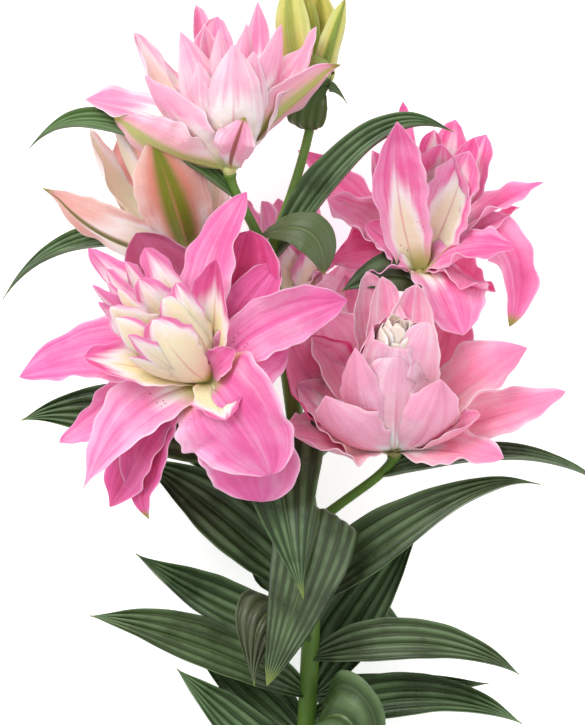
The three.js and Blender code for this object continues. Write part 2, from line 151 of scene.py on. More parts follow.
# Each bloom: the middle of its receptacle, the way it opens, where its stalk leaves the stem, the
# point it leaves towards, and the length over which it comes to the bloom along the bloom's axis.
BLOOM_PLACES = {
    "bloom_top": ((-35, 111, 94), (-0.08, 0.93, 0.36), 52, (-16, 70, 82), 13),
    "bloom_half_open": ((-59, 62, 58), (-0.45, 0.87, 0.15), 34, (-19, 39, 64), 12),
    "bloom_left": ((-48, -7, 118), (-0.5, 0.55, 0.67), -59, (-1, -43, 72), 22),
    "bloom_right_back": ((70, 54, 56), (0, 0.88, 0.47), -21, (21, 0, 50), 20),
    "bloom_right_front": ((56, -44, 76), (0.02, 0.78, 0.62), -93, (20, -78, 50), 16),
    "bloom_rear": ((0, 39, 40), (-0.25, 0.9, 0.3), -32, (4, -14, 48), 16),
    "bud": ((11, 149, 64), (0, 0.97, 0.1), 59, (-2, 87, 76), 16),
}


def unit(v):
    """A vector, or each row of an array of them, divided by its length."""
    return v / np.linalg.norm(v, axis=-1, keepdims=True)


def cubic(ends, s):
    """A cubic curve drawn by four control points, at shares s. Its points are the control points times
    (1-s)^3, 3 (1-s)^2 s, 3 (1-s) s^2 and s^3, summed, and the unit vectors along it are the direction
    of that sum's derivative."""
    a, b, c, d = np.asarray(ends, float)
    s = np.asarray(s, float)[:, None]
    points = (1 - s) ** 3 * a + 3 * (1 - s) ** 2 * s * b + 3 * (1 - s) * s ** 2 * c + s ** 3 * d
    ahead = (1 - s) ** 2 * (b - a) + 2 * (1 - s) * s * (c - b) + s ** 2 * (d - c)
    return points, unit(ahead)


def smooth_line(knots, count):
    """A smooth curve through knots, as count points at even distances. Between two knots each point is
    a straight blend of straight blends of the four nearest knots, in a pyramid of three steps, timed
    by the square roots of the distances between them."""
    ends = np.vstack([2 * knots[0] - knots[1], knots, 2 * knots[-1] - knots[-2]])
    t = np.concatenate([[0], np.cumsum(np.linalg.norm(np.diff(ends, axis=0), axis=1) ** 0.5)])
    fine = np.linspace(t[1], t[-2], 600)
    i = np.clip(np.searchsorted(t, fine, side="right") - 1, 1, len(ends) - 3)
    p0, p1, p2, p3 = (ends[i + k] for k in (-1, 0, 1, 2))
    t0, t1, t2, t3 = (t[i + k][:, None] for k in (-1, 0, 1, 2))
    x = fine[:, None]
    a1 = (t1 - x) / (t1 - t0) * p0 + (x - t0) / (t1 - t0) * p1
    a2 = (t2 - x) / (t2 - t1) * p1 + (x - t1) / (t2 - t1) * p2
    a3 = (t3 - x) / (t3 - t2) * p2 + (x - t2) / (t3 - t2) * p3
    b1 = (t2 - x) / (t2 - t0) * a1 + (x - t0) / (t2 - t0) * a2
    b2 = (t3 - x) / (t3 - t1) * a2 + (x - t1) / (t3 - t1) * a3
    line = (t2 - x) / (t2 - t1) * b1 + (x - t1) / (t2 - t1) * b2
    run = np.concatenate([[0], np.cumsum(np.linalg.norm(np.diff(line, axis=0), axis=1))])
    at = np.linspace(0, run[-1], count)
    return np.stack([np.interp(at, run, line[:, k]) for k in range(3)], 1)


def rod(line, radii, sides=20):
    """A round rod: at each point of line, a ring of the given radius in the plane across the line.
    Its two ends are closed by a fan round the middle. Returns vertices and faces."""
    ahead = unit(np.gradient(line, axis=0))
    across = unit(np.cross(ahead, [0.0, 0.0, 1.0]))
    up = np.cross(across, ahead)
    angle = np.arange(sides) * 2 * np.pi / sides
    cosine, sine = np.cos(angle)[:, None], np.sin(angle)[:, None]
    outward = across[:, None] * cosine + up[:, None] * sine
    rings = line[:, None] + np.asarray(radii)[:, None, None] * outward
    points = np.vstack([rings.reshape(-1, 3), line[0], line[-1]])
    n = len(line)
    i, k = np.meshgrid(np.arange(n - 1), np.arange(sides), indexing="ij")
    k1 = (k + 1) % sides
    walls = np.stack([i * sides + k, (i + 1) * sides + k, (i + 1) * sides + k1, i * sides + k1], -1)
    k, k1, end = k[0], k1[0], (n - 1) * sides
    caps = np.vstack([np.stack([np.full(sides, n * sides), k, k1], 1),
                      np.stack([np.full(sides, n * sides + 1), end + k1, end + k], 1)])
    return points, walls.reshape(-1, 4).tolist() + caps.tolist()


def make_piece(name, points, faces, nodes, material, attributes=None):
    """One object of the plant from points in mm, with smooth faces and its point attributes. It
    stands for the given CAD nodes, which it hides, and takes the given material."""
    mesh = bpy.data.meshes.new(name)
    mesh.from_pydata(row_frame(points).tolist(), [], faces)
    for key, values in (attributes or {}).items():
        layer = mesh.attributes.new(key, "FLOAT_VECTOR", "POINT")
        layer.data.foreach_set("vector", np.ascontiguousarray(values, np.float32).ravel())
    mesh.polygons.foreach_set("use_smooth", np.ones(len(mesh.polygons), bool))
    mesh.materials.append(material)
    piece = bpy.data.objects.new(name, mesh)
    scene.collection.objects.link(piece)
    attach(piece, "root")
    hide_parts(*nodes)
    return piece


# Living stem: satin and waxy, mid-green with yellower streaks where the light comes through it.
STREAKS_PER_METRE = 620.0  # 1.6 mm apart
STREAK_STRETCH = 0.03      # they are some thirty times as long as they are wide
PATCHES_PER_METRE = 28.0   # 36 mm apart
stem_material, tree = new_material("satin green lily stem")
place = add(tree, "TexCoord").outputs["Object"]
streaked = add(tree, "Mapping", {"Vector": place, "Scale": (1, STREAK_STRETCH, 1)})
streaks = add(tree, "TexNoise", {"Vector": streaked, "Scale": STREAKS_PER_METRE, "Detail": 3.0})
patches = add(tree, "TexNoise", {"Vector": place, "Scale": PATCHES_PER_METRE, "Detail": 2.0})
greens = add(tree, "MixRGB", {"Fac": patches, "Color1": linear("486c24"), "Color2": linear("7f9c48")})
green = add(tree, "MixRGB", {"Fac": streaks, "Color1": greens, "Color2": linear("567c30")})
relief = add(tree, "Bump", {"Height": streaks, "Strength": 0.25, "Distance": 0.0004})
skin = add(tree, "BsdfPrincipled", {
    "Base Color": green, "Roughness": 0.42, "IOR": 1.42, "Specular IOR Level": 0.4, "Normal": relief,
    "Subsurface Weight": 0.12, "Subsurface Radius": (0.4, 1.0, 0.2), "Subsurface Scale": 0.002})
add(tree, "OutputMaterial", {"Surface": skin})

stem_path = smooth_line(STEM_LINE, STEM_POINTS)
stem_radii = STEM_RADIUS + (STEM_TOP_RADIUS - STEM_RADIUS) * np.linspace(0, 1, STEM_POINTS) ** 3
rods = [rod(stem_path, stem_radii)]
stalk_paths = {}
s = np.linspace(0, 1, STALK_POINTS)
foot = (STALK_FOOT_RADIUS - STALK_RADIUS) * np.exp(-((s / STALK_FOOT_SHARE) ** 2))
flare = STALK_FLARE * np.exp(-(((1 - s) / STALK_FLARE_SHARE) ** 2))
for name, (middle, axis, height, leaving, reach) in BLOOM_PLACES.items():
    axis = unit(np.array(axis, float))
    start = stem_path[np.argmin(abs(stem_path[:, 1] - height))]
    end = middle - SEAT * axis
    stalk_paths[name] = [start, leaving, end - reach * axis, end]
    rods.append(rod(cubic(stalk_paths[name], s)[0], STALK_RADIUS + foot + flare, 16))
points, faces = [], []
for rod_points, rod_faces in rods:
    start = sum(len(p) for p in points)
    points.append(rod_points)
    faces += [[start + v for v in face] for face in rod_faces]
points = np.vstack(points)
points[:, 2] = np.maximum(points[:, 2], 0)  # the cut end lies on the floor
stem = make_piece("lily_stem", points, faces, ["stem"], stem_material)
fuse = stem.modifiers.new("fuse", "REMESH")
fuse.mode = "VOXEL"
fuse.voxel_size = STEM_VOXEL / 1000
fuse.use_smooth_shade = True
soften = stem.modifiers.new("soften", "SMOOTH")
soften.factor = 0.5
soften.iterations = 6

# The leaves. A lily leaf is a stalkless lance with its edges waved, dark and glossy above, with three
# to nine pale parallel veins sunk in soft channels, paler and duller below, and yellow at its tip.
# Those that bend over towards the viewer get a painted grey-brown sheen.
#
# What makes a blade's form, as the docstring of blade() tells, with the rows and columns of its grid.
LEAF_FORM = dict(thick=0.9, cup=0.25, fold=0.26, wave=1.4, waves=1.3, claw=0.24, swell=0.95, taper=1.25,
                 ruffle=0.3, ruffles=4.0, uneven=0.03, crease=0.0, groove=0.8, ribs=5, rib=1.1,
                 rows=46, columns=33)
# A leaf: where along the stem it leaves it, or the bloom whose stalk it leaves, the point its midrib
# starts towards, the point it comes from to its tip, the tip, its width, how far its upper side is
# turned from up the stem towards the sky in degrees, how much painted grey-brown sheen it shows, and
# what is its own: any entry of LEAF_FORM, share (how far up its stalk it grows), across (the way its
# width runs) and light (how light its green is, where others take it by chance; above 1 it is painted
# light that lifts a leaf lying in shade).
LEAVES = {
    # leaf_top_left, leaf_bud and leaf_04 have light above 1: painted light that lifts their green where
    # they lie in shade.
    "leaf_top_left": ("bloom_top", (-63, 121, 92), (-117, 151, 90), (-145, 117, 76), 18, 40, 0.0,
                      dict(light=3.0)),
    "leaf_bud": ("bud", (4, 134, 82), (14, 168, 88), (30, 142, 80), 19, 80, 0.0,
                 dict(share=0.78, across=(1.0, -0.25, -0.2), cup=-0.6, fold=0.0, swell=0.8, taper=1.5,
                      claw=0.7, rib=0.3, light=2.6)),
    "leaf_02": (55, (-51, 68, 12), (-128, 88, 38), (-161, 35, 30), 20, 40, 0.0),
    "leaf_03": (61, (11, 87, 82), (43, 149, 100), (88, 126, 96), 22, 45, 0.1),
    "leaf_04": ("bloom_top", (-8, 75, 106), (19, 81, 109), (17, 48, 98), 22, 84, 0.9,
                dict(share=0.3, rib=0.1, swell=1.6, taper=0.85, fold=0.05, cup=-0.2, light=4.5, ribs=3)),
    "leaf_05": ("bloom_right_back", (67, 48, 68), (48, 53, 79), (27, 39, 78), 25, 65, 0.3,
                dict(share=0.93, rib=0.2, swell=0.7, taper=1.1, light=0.2, ribs=2)),
    "leaf_06": ("bloom_right_front", (59, -56, 66), (131, -37, 76), (170, -67, 60), 16, 40, 0.2),
    "leaf_07": (-128, (42, -109, 62), (95, -57, 80), (136, -67, 72), 33, 50, 0.2,
                dict(swell=0.8, taper=1.7)),
    "leaf_08": (-182, (26, -158, 36), (51, -120, 42), (72, -84, 46), 34, 50, 0.0),
    "leaf_09": (-162, (43, -153, 66), (89, -147, 76), (125, -172, 60), 25, 60, 0.4),
    "leaf_11": (-197, (44, -186, 38), (87, -177, 52), (127, -200, 42), 26, 60, 0.1),
    "leaf_12": (-215, (13, -181, 80), (45, -184, 92), (37, -241, 62), 44, 85, 0.2, dict(rib=0.4, ribs=3)),
    "leaf_13": (-235, (-12, -220, 46), (-43, -193, 54), (-64, -169, 54), 28, 50, 0.0),
    "leaf_14": (-182, (-23, -165, 58), (-78, -144, 62), (-112, -140, 52), 28, 60, 0.3),
    "leaf_15": (-153, (-17, -148, 30), (-56, -131, 32), (-87, -106, 34), 30, 50, 0.0),
    "leaf_16": (-208, (-12, -194, 24), (-37, -172, 22), (-59, -153, 20), 30, 50, 0.0),
    "leaf_17": (-119, (12, -56, 78), (29, -62, 108), (-14, -177, 84), 50, 88, 0.3,
                dict(cup=-0.75, fold=0.0, swell=1.1, taper=0.8, wave=0.4, ruffle=0.1, rib=0.35, light=0.1,
                     ribs=8, columns=57)),
    "leaf_18": (-152, (-6, -125, 70), (-26, -131, 92), (-21, -178, 72), 36, 82, 1.0,
                dict(cup=-0.7, fold=0.0)),
    "leaf_19": (-78, (0, -16, 68), (-20, -21, 90), (6, -129, 100), 46, 85, 0.0,
                dict(swell=1.7, taper=1.2, rib=0.12)),
    "leaf_20": (-125, (-17, -105, 46), (-56, -66, 51), (-85, -55, 46), 36, 60, 0.1),
    "leaf_21": (-88, (-20, -67, 24), (-51, -51, 22), (-78, -44, 26), 22, 45, 0.0),
    "leaf_22": (-37, (-40, -46, 52), (-106, -16, 54), (-150, -32, 46), 40, 80, 0.0),
    "leaf_24": (-137, (-6, -124, 20), (-17, -110, 20), (-27, -98, 26), 26, 50, 0.0),
    "leaf_25": (-186, (32, -186, 8), (70, -182, 28), (109, -178, 34), 20, 50, 0.0),
    "leaf_26": (-235, (37, -223, 36), (81, -218, 46), (121, -241, 34), 28, 60, 0.1),
    "leaf_27": (-252, (-23, -243, 32), (-67, -224, 40), (-106, -241, 24), 28, 60, 0.1),
    "leaf_28": (-265, (32, -264, 24), (67, -265, 32), (98, -293, 12), 24, 60, 0.2),
    "leaf_29": (-268, (-12, -269, 24), (-48, -269, 30), (-84, -298, 10), 24, 60, 0.1),
    "leaf_30": (-145, (21, -137, 0), (45, -141, -4), (66, -153, -6), 28, -50, 0.0),
    "leaf_31": (-103, (-17, -88, 16), (-40, -72, -3), (-54, -84, -6), 26, -50, 0.0),
    "leaf_32": (-222, (-7, -202, 4), (-34, -202, -4), (-56, -224, -6), 26, -50, 0.0),
    "leaf_33": (-59, (26, -37, 40), (59, -18, 14), (87, -37, 4), 26, -30, 0.0),
}
LEAF_SHARE_ON_STALK = 0.72  # of the stalk's length, for leaves with no share of their own
LEAF_ROOT_DEPTH = 0.6  # of the stem's radius, so that the leaf's root is inside the stem
LEAF_FULLNESS = 1.06   # a blade is this much wider when laid flat than the width it shows
LEAST_WIDTH = 0.012    # of a blade's full width, at its tip
# A margin's uneven line: three sines, each with its share and the number of its waves on a blade.
UNEVEN_WAVES = ((0.55, 1.3), (0.3, 3.1), (0.25, 6.7))
MARGINS_APART = 2.1    # radians between the waves of the left and the right margin
MIDRIB_WIDTH = 0.09    # of half the blade's width
HOOK_FROM = 0.87       # of the blade's length
FLOOR_EASE = 4.0       # the height over which a blade that meets the floor eases onto it and lies flat


def outline(s, form):
    """Half the width of a blade at share s of its length, as a share of half its full width: it
    swells from the root as s^swell and falls to the tip as (1-s)^taper, over a narrow claw."""
    swell, taper = form["swell"], form["taper"]
    widest = swell / (swell + taper)
    body = s ** swell * (1 - s) ** taper / (widest ** swell * (1 - widest) ** taper)
    return np.maximum(body + form["claw"] * (1 - s) ** 4, LEAST_WIDTH)


def on_floor(z, lowest):
    """Heights kept above the floor: those over lowest + ease stay, those under lowest - ease become
    lowest, and those between follow a parabola that meets both."""
    eased = lowest + (z - lowest + FLOOR_EASE) ** 2 / (4 * FLOOR_EASE)
    return np.where(z > lowest + FLOOR_EASE, z, np.where(z < lowest - FLOOR_EASE, lowest, eased))


def blade(ends, side, width, form, draw, phase=0.0, twist=0.0, hook=0.0):
    """A leaf or petal as a closed thin shell. Across its midrib it curves on an arc of half-angle
    cup, or folds along slopes fold. Its margins wave as wave * sin(2 pi (waves s + phase)) * u^2,
    with two finer ruffles in |u|^3, and their distance from the midrib varies by the share uneven as
    a sum of three sines. The midrib is a groove of the form exp(-(u / width)^2), and creases and ribs
    are cosines of u. twist turns it about its midrib, and hook bends its last eighth back, away from
    the upper face. s goes from 0 at the root to 1 at the tip and u from -1 to 1 across, with rows and
    columns closer together at the ends and at the margins. Where it would pass through the floor it
    lies on it. It is thinner at its margins and towards its tip.
    Returns its points, its quads, and for each point (across 0..1, along 0..1, 1 if underneath)."""
    rows, columns, thick = form["rows"], form["columns"], form["thick"]
    s = np.linspace(0, 1, rows)
    s = s - 0.06 * np.sin(2 * np.pi * s) / (2 * np.pi)
    u = np.sin(np.linspace(-1, 1, columns) * np.pi / 2) * 0.35 + np.linspace(-1, 1, columns) * 0.65
    line, ahead = cubic(ends, s)
    right = unit(side - np.sum(side * ahead, 1, keepdims=True) * ahead)
    up = np.cross(right, ahead)
    turn = np.radians(twist) * s[:, None]
    right, up = right * np.cos(turn) + up * np.sin(turn), up * np.cos(turn) - right * np.sin(turn)
    s2, u2 = s[:, None], u[None, :]
    start = draw.uniform(0, 2 * np.pi, (2, 6))
    left_line, right_line = (sum(share * np.sin(2 * np.pi * often * s2 + start[k, j])
                                 for j, (share, often) in enumerate(UNEVEN_WAVES)) for k in (0, 1))
    ragged = np.where(u2 < 0, left_line, right_line) * np.abs(u2)
    half = width / 2 * outline(s, form)[:, None] * (1 + form["uneven"] * ragged)
    cup = form["cup"] or 1e-3
    edge = np.where(u2 > 0, MARGINS_APART, 0.0)
    fine = sum(amount * np.sin(2 * np.pi * form["ruffles"] * often * s2
                               + np.where(u2 < 0, start[0, j], start[1, j]))
               for j, often, amount in ((3, 0.55, 1.2), (4, 1.0, 1.0)))
    ends_still = np.sin(np.pi * s2)
    height = half * (1 - np.cos(cup * u2)) / cup + half * form["fold"] * (np.sqrt(u2 ** 2 + 0.01) - 0.1)
    waved = np.sin(2 * np.pi * (form["waves"] * s2 + phase) + edge)
    height = height + form["wave"] * waved * u2 ** 2 * ends_still
    height = height + form["ruffle"] * fine * np.abs(u2) ** 3 * np.sqrt(ends_still)
    height = height + form["crease"] * np.cos(5.5 * u2 + start[0, 5] + 1.5 * s2) * ends_still * half / 12
    groove = form["groove"] * np.exp(-((u2 / MIDRIB_WIDTH) ** 2)) * np.minimum(1, 5 * (1 - s2))
    height = height - groove * half / (half + 2)
    height = height - form["rib"] * np.cos(np.pi * form["ribs"] * u2) * np.minimum(1, half / 5)
    height = height - hook * np.maximum(0, (s2 - HOOK_FROM) / (1 - HOOK_FROM)) ** 2
    wide = half * np.sin(cup * u2) / cup
    sheet = line[:, None] + right[:, None] * wide[..., None] + up[:, None] * height[..., None]
    sheet[..., 2] = on_floor(sheet[..., 2], thick / 2)
    normal = unit(np.cross(np.gradient(sheet, axis=1), np.gradient(sheet, axis=0)))
    thin = thick / 2 * (1 - 0.6 * u2 ** 4) * (1 - 0.5 * s2 ** 3)
    faces_of = [sheet + normal * thin[..., None], sheet - normal * thin[..., None]]
    points = np.concatenate([f.reshape(-1, 3) for f in faces_of])
    points[:, 2] = np.maximum(points[:, 2], 0)
    grid = np.arange(rows * columns).reshape(rows, columns)
    low = grid + rows * columns
    # The upper face, the lower face, and the four narrow walls that join their edges.
    strips = [
        (grid[:-1, :-1], grid[:-1, 1:], grid[1:, 1:], grid[1:, :-1]),
        (low[:-1, :-1], low[1:, :-1], low[1:, 1:], low[:-1, 1:]),
        (grid[:-1, 0], grid[1:, 0], low[1:, 0], low[:-1, 0]),
        (low[:-1, -1], low[1:, -1], grid[1:, -1], grid[:-1, -1]),
        (grid[0, :-1], low[0, :-1], low[0, 1:], grid[0, 1:]),
        (low[-1, :-1], grid[-1, :-1], grid[-1, 1:], low[-1, 1:]),
    ]
    quads = np.vstack([np.stack(q, -1).reshape(-1, 4) for q in strips])
    where = np.stack(np.broadcast_arrays((u2 + 1) / 2, s2), -1).reshape(-1, 2)
    where = np.vstack([np.column_stack([where, np.zeros(len(where))]),
                       np.column_stack([where, np.ones(len(where))])])
    return points, quads, where


# Lily leaf: a waxy cuticle over dark green, satin rather than wet, with a dull, greyer underside.
# Pale veins run at the bottoms of the soft channels that the blade's ribs make. The channels are
# darkened with painted shade and the crests between them lightened with a painted highlight. The
# point attribute "look" gives each leaf its painted grey-brown sheen, its lightness (painted light
# where it is above 1) and its number of channels.
FIBRES_ACROSS = 60.0    # on a 30 mm leaf they are 0.5 mm apart
FIBRES_ALONG = 1.5
OTHER_LEAF = 9.0        # steps through the noise, so that no two leaves have the same fibres
LEAF_MOTTLES_PER_METRE = 40.0
GRAINS_PER_METRE = 1500.0  # 0.7 mm, coarser than the cuticle's own grain, so that it shows
leaf_material, tree = new_material("waxy lily leaf")
blade_at = add(tree, "SeparateXYZ", {0: add(tree, "Attribute", attribute_name="blade").outputs["Vector"]})
look_at = add(tree, "SeparateXYZ", {0: add(tree, "Attribute", attribute_name="look").outputs["Vector"]})
across, along, under = blade_at.outputs
painted_sheen, lot, ribs = look_at.outputs
place = add(tree, "TexCoord").outputs["Object"]
mottle = add(tree, "TexNoise", {"Vector": place, "Scale": LEAF_MOTTLES_PER_METRE, "Detail": 4.0})
grain = add(tree, "TexNoise", {"Vector": place, "Scale": GRAINS_PER_METRE, "Detail": 2.0})
on_blade = add(tree, "CombineXYZ", {0: across, 1: along, 2: lot})
strands = add(tree, "VectorMath", {0: on_blade, 1: (FIBRES_ACROSS, FIBRES_ALONG, OTHER_LEAF)},
              operation="MULTIPLY")
fibres = add(tree, "TexNoise", {"Vector": strands, "Scale": 1.0, "Detail": 3.0})
from_midrib = add(tree, "Math", {0: across, 1: 0.5}, operation="SUBTRACT")
off_midrib = add(tree, "Math", {0: from_midrib}, operation="ABSOLUTE")
turns = add(tree, "Math", {0: from_midrib, 1: ribs}, operation="MULTIPLY")
angle = add(tree, "Math", {0: turns, 1: 2 * np.pi}, operation="MULTIPLY")
wave = add(tree, "Math", {0: angle}, operation="COSINE")  # 1 in a channel, -1 on a crest
# Each share goes smoothly from nothing to its amount as its measure goes from one limit to the other.
# The channel share is painted shade in the channels, and the crest share a painted highlight on the
# crests.
channel_shade, crest_highlight, vein, midrib, patch, thread, at_tip = (
    add(tree, "MapRange", {"Value": measure, "From Min": first, "From Max": last, "To Max": amount},
        interpolation_type="SMOOTHSTEP")
    for measure, first, last, amount in (
        (wave, -0.5, 1.0, 0.88), (wave, 0.1, -1.0, 0.55), (wave, 0.9, 1.0, 0.08),
        (off_midrib, 0.03, 0.006, 0.22), (mottle, 0.3, 0.7, 1.0), (fibres, 0.35, 0.75, 0.3),
        (along, 0.965, 1.0, 0.7)))
green = add(tree, "MixRGB", {"Fac": patch, "Color1": linear("182c10"), "Color2": linear("4a683a")})
# In these mixes the crest tint is a painted highlight, the channel tint painted shade, the 4a4838 tint a
# painted grey-brown sheen, and the lot tint, for a leaf whose lightness is above 1, painted light on a
# leaf that lies in shade.
for share, amount, tint in (
        (crest_highlight, patch, "7d9270"), (channel_shade, 1.0, "0f1d07"), (thread, 1.0, "4f683c"), (lot, 0.2, "58793a"),
        (painted_sheen, 0.7, "4a4838"), (vein, 1.0, "8aa070"), (midrib, 1.0, "86a45e"), (at_tip, 1.0, "93a34c"),
        (under, 0.5, "6d8260")):
    part = add(tree, "Math", {0: share, 1: amount}, operation="MULTIPLY")
    green = add(tree, "MixRGB", {"Fac": part, "Color1": green, "Color2": linear(tint)})
height = add(tree, "Math", {0: fibres, 1: 1.5, 2: grain}, operation="MULTIPLY_ADD")
relief = add(tree, "Bump", {"Height": height, "Strength": 0.3, "Distance": 0.0005})
gloss = add(tree, "MapRange", {
    "Value": mottle, "From Min": 0.3, "From Max": 0.7, "To Min": 0.24, "To Max": 0.4})
cuticle = add(tree, "BsdfPrincipled", {
    "Base Color": green, "Roughness": gloss, "IOR": 1.45, "Specular IOR Level": 0.42, "Normal": relief})
add(tree, "OutputMaterial", {"Surface": cuticle})

chance = np.random.default_rng(7)
for name, (foot, leaving, bending, tip, width, face, brown_sheen, *own) in LEAVES.items():
    form = {**LEAF_FORM, **(own[0] if own else {})}
    if isinstance(foot, str):
        (middle,), (along_stem,) = cubic(stalk_paths[foot], [form.get("share", LEAF_SHARE_ON_STALK)])
        radius = STALK_RADIUS
    else:
        k = np.argmin(abs(stem_path[:, 1] - foot))
        middle, along_stem, radius = stem_path[k], unit(np.gradient(stem_path, axis=0)[k]), stem_radii[k]
    leaving, bending, tip = (np.array(p, float) for p in (leaving, bending, tip))
    out = leaving - middle
    root = middle + radius * LEAF_ROOT_DEPTH * unit(out - np.dot(out, along_stem) * along_stem)
    chord = unit(tip - root)
    facing = np.array([0, np.cos(np.radians(face)), np.sin(np.radians(face))])
    normal = unit(facing - np.dot(facing, chord) * chord)
    side = unit(np.array(form.get("across", np.cross(tip - root, normal)), float))
    points, quads, where = blade([root, leaving, bending, tip], side, width * LEAF_FULLNESS, form, chance)
    # The look: the painted grey-brown sheen, the lightness (painted light where above 1) and the channels.
    look = np.tile([brown_sheen, form.get("light", chance.random()), form["ribs"]], (len(points), 1))
    make_piece("lily_" + name, points, quads.tolist(), [name], leaf_material,
               {"blade": where, "look": look})

# The left bloom, the largest. A double lily's bloom is some twenty to fifty petals in layers round a
# small green receptacle: broad soft pink outer ones with ruffled edges, bent back, and small cream
# inner ones, grown in place of stamens, with magenta tips. All are thin, velvety and lit through.
OUTER = dict(thick=1.0, cup=0.5, fold=0.0, wave=3.0, waves=1.7, claw=0.2, swell=1.0, taper=0.82,
             ruffle=1.3, ruffles=5.5, uneven=0.1, crease=0.7, groove=1.1, ribs=0, rib=0.0,
             rows=44, columns=31)
INNER = dict(thick=0.8, cup=0.9, fold=0.0, wave=0.9, waves=1.2, claw=0.3, swell=0.9, taper=0.58,
             ruffle=1.0, ruffles=3.5, uneven=0.16, crease=0.25, groove=0.5, ribs=0, rib=0.0,
             rows=32, columns=21)
IN_RING = {**INNER, "swell": 0.8, "taper": 0.42}
# The stalk's end swells inside the petals to these radii, and closes below their throat.
SWELLING_RADII = (3.2, 3.4, 3.7, 4.0, 4.2, 4.2, 3.8, 2.8, 1.4)
SWELLING_END = -2.0   # along the bloom's axis from the middle of its receptacle
ROOT_DEPTH = 4.5      # how far below that middle the petals grow
ROOT_SPREAD = 2.6     # and how far from the axis at most
LEAN = 7.0            # how far a petal that turns quite away first follows the axis
PHASE_STEP = 0.37     # between the waves of one petal and the next
TWIST_SPREAD = 6.0    # degrees
RING_ANGLE_SPREAD = 5.0


def make_bloom(name, outer, inner, rings, looks, material, seed):
    """All petals of one bloom in one mesh, with the swollen end of its stalk. A petal's root is low
    on the bloom's axis, set a little towards its tip. Its midrib is a cubic curve, whose inner
    control points at the thirds of the chord are lifted 4/3 of its arch along its face and 4/3 of its
    sweep to the side, the second one by its curl too, and the first one up the axis the more the
    petal turns away from it. A ring is a barrel of petals round the axis: they bulge to one radius, end on
    another at a length along the axis, and stand at even angles."""
    middle, axis = (np.array(v, float) for v in BLOOM_PLACES[name][:2])
    axis = unit(axis)
    draw = np.random.default_rng(seed)
    along_axis = np.linspace(-SEAT - 1, SWELLING_END, len(SWELLING_RADII))
    swelling = rod(middle + axis * along_axis[:, None], SWELLING_RADII, 18)
    sky = np.array([0, 0, 1.0])
    petals = []
    for rows, form in ((outer, OUTER), (inner, INNER)):
        for k, (x, y, z, width, arch, sweep, face, curl, kind, *own) in enumerate(rows):
            own = own[0] if own else {}
            offset = np.array([x, y, z], float)
            tip = middle + offset
            aside = offset - np.dot(offset, axis) * axis
            root = middle - ROOT_DEPTH * axis + ROOT_SPREAD * aside / (np.linalg.norm(aside) + 6)
            chord = tip - root
            ahead = unit(chord)
            normal = unit(sky - np.dot(sky, ahead) * ahead)
            turned = np.radians(face)
            normal = normal * np.cos(turned) + np.cross(ahead, normal) * np.sin(turned)
            side = unit(np.cross(chord, normal))
            lift, push = 4 / 3 * arch, 4 / 3 * sweep
            away = 1 - np.dot(unit(offset), axis)
            ends = [root, root + chord / 3 + normal * lift + side * push + axis * LEAN * away,
                    root + chord * 2 / 3 + normal * (lift + curl) + side * push, tip]
            petals.append((ends, side, width, {**form, **own}, PHASE_STEP * k, kind))
    east = unit(np.cross(axis, sky))
    north = np.cross(axis, east)
    # A ring petal's midrib starts beside the axis, bulges outwards a third of the way up, and closes
    # in to its end.
    for count, length, bulge, end, width, first, kind in rings:
        for k in range(count):
            angle = np.radians(first + 360 * k / count + draw.normal(0, RING_ANGLE_SPREAD))
            outward = np.cos(angle) * east + np.sin(angle) * north
            reach = length * draw.uniform(0.93, 1.05)
            ends = [middle - 4 * axis + 2 * outward, middle + axis * reach * 0.3 + outward * bulge * 1.5,
                    middle + axis * reach * 0.75 + outward * (0.7 * bulge + 0.6 * end),
                    middle + axis * reach + outward * end]
            petals.append((ends, np.cross(outward, axis), width * draw.uniform(0.9, 1.1), IN_RING,
                           draw.random(), kind))
    # The swelling comes first, and has the colour of a petal's root.
    points, faces = [swelling[0]], swelling[1]
    count = len(points[0])
    wheres = [np.tile([0.5, 0.03, 0], (count, 1))]
    firsts, seconds = [np.zeros((count, 3))], [np.zeros((count, 3))]
    for ends, side, width, form, phase, kind in petals:
        twist = form.get("twist", 0) + draw.normal(0, TWIST_SPREAD)
        petal, quads, where = blade(ends, side, width, form, draw, phase, twist, form.get("hook", 0))
        cream, deep, peach, green, rim = looks[kind]
        points.append(petal)
        faces += (quads + count).tolist()
        count += len(petal)
        wheres.append(where)
        firsts.append(np.tile([cream, deep, peach], (len(petal), 1)))
        seconds.append(np.tile([green, rim, draw.random()], (len(petal), 1)))
    attributes = {"blade": np.vstack(wheres), "look": np.vstack(firsts), "mark": np.vstack(seconds)}
    make_piece("lily_" + name, np.vstack(points), faces, [name], material, attributes)


# Patterns on the petals, from real sizes. Noise scales are cells per metre.
VEINS_ACROSS = 36.0         # on a 40 mm petal they are 1.1 mm apart
VEINS_ALONG = 1.4
OTHER_PETAL = 9.0           # steps through the noise, so that no two petals have the same veins
BANDS_TO_VEINS = 0.22       # a band of colour is as broad as some five veins
PETAL_MOTTLES_PER_METRE = 55.0  # 18 mm
PUCKERS_PER_METRE = 260.0   # 4 mm
CELLS_PER_METRE = 1800.0    # 0.6 mm, coarser than the real raised cells, so that they show
DOTS_PER_METRE = 330.0      # 3 mm apart
DOT_RADIUS = 0.15           # of that, so 0.9 mm across, a little coarser than the real dots


